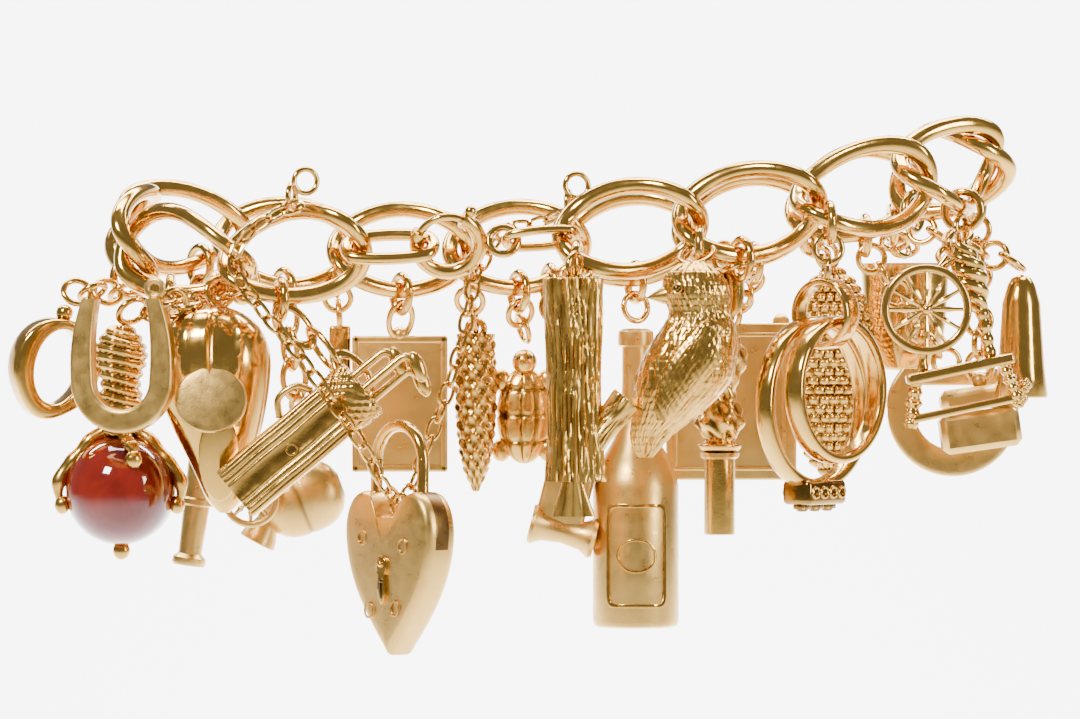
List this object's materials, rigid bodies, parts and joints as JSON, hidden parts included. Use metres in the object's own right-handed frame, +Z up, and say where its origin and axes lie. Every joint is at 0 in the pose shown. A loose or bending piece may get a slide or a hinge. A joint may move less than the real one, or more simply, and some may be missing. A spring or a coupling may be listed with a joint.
{
  "type": "charm bracelet",
  "caption": "Gold curb-link charm bracelet held in a worn loop, with a bolt ring clasp, heart padlock, safety chain and hanging charms.",
  "frame": {"origin": "middle of the hollow that the wrist goes through, level with the chain", "axes": "+Z up out of the hollow, +X along the long side of the loop, -Y towards the front with the clasp and padlock"},
  "size_m": [0.1029, 0.0456, 0.0527],
  "materials": {
    "polished_gold": "polished yellow gold",
    "satin_gold": "satin yellow gold with fine grain",
    "antique_gold": "textured gold, darker in its recesses",
    "carnelian": "polished translucent red-brown stone"
  },
  "bodies": {
    "root": {"link_front_1": "polished_gold", "link_front_2": "polished_gold", "link_front_3": "polished_gold", "link_front_4": "polished_gold", "link_right_turn": "polished_gold", "link_back_1": "polished_gold", "link_back_2": "polished_gold", "link_back_3": "polished_gold", "link_back_4": "polished_gold", "link_back_5": "polished_gold", "link_back_6": "polished_gold", "link_back_7": "polished_gold", "link_left_turn": "polished_gold", "link_front_6": "polished_gold", "link_front_5": "polished_gold", "clasp_link": "polished_gold", "bolt_ring": "polished_gold", "oblong_link": "polished_gold", "padlock_heart": "satin_gold", "safety_chain_left": "polished_gold", "safety_chain_right": "polished_gold", "pointed_ring": "polished_gold", "horseshoe": "satin_gold", "talon": "antique_gold", "talon_ball": "carnelian", "clog": "polished_gold", "golf_bag": "polished_gold", "tree_log": "antique_gold", "bird": "polished_gold", "watch_key": "antique_gold", "bail_band": "polished_gold", "spinning_frame": "polished_gold", "wedding_band": "polished_gold", "engagement_band": "polished_gold", "cannon": "satin_gold", "whistle": "satin_gold", "flat_bar": "polished_gold", "flat_plate": "satin_gold", "pod": "antique_gold", "tortoise": "antique_gold", "mallet": "satin_gold", "bottle": "satin_gold", "book": "satin_gold", "beaded_drop": "antique_gold", "cup": "polished_gold", "horseshoe_back": "satin_gold", "faceted_box": "satin_gold", "bell": "polished_gold"},
    "shackle": {"padlock_shackle": "polished_gold"},
    "trigger": {"bolt_trigger": "polished_gold"},
    "wheel": {"spinning_wheel": "polished_gold"}
  },
  "joints": [
    {"name": "shackle_hinge", "type": "hinge", "parent": "root", "child": "shackle", "pos_m": [-0.01407, -0.02187, -0.028], "axis": [0.766, 0.6428, 0], "range_deg": [0, 75]},
    {"name": "trigger_slide", "type": "hinge", "parent": "root", "child": "trigger", "pos_m": [-0.01232, -0.01291, -0.00022], "axis": [-0.0495, 0.8651, 0.4992], "range_deg": [0, 38], "stiffness_Nm_per_rad": 0.0002, "springref_deg": -11.46},
    {"name": "wheel_axle", "type": "hinge", "parent": "root", "child": "wheel", "pos_m": [0.034, -0.016, -0.0066], "axis": [0, 1, 0], "continuous": true}
  ]
}
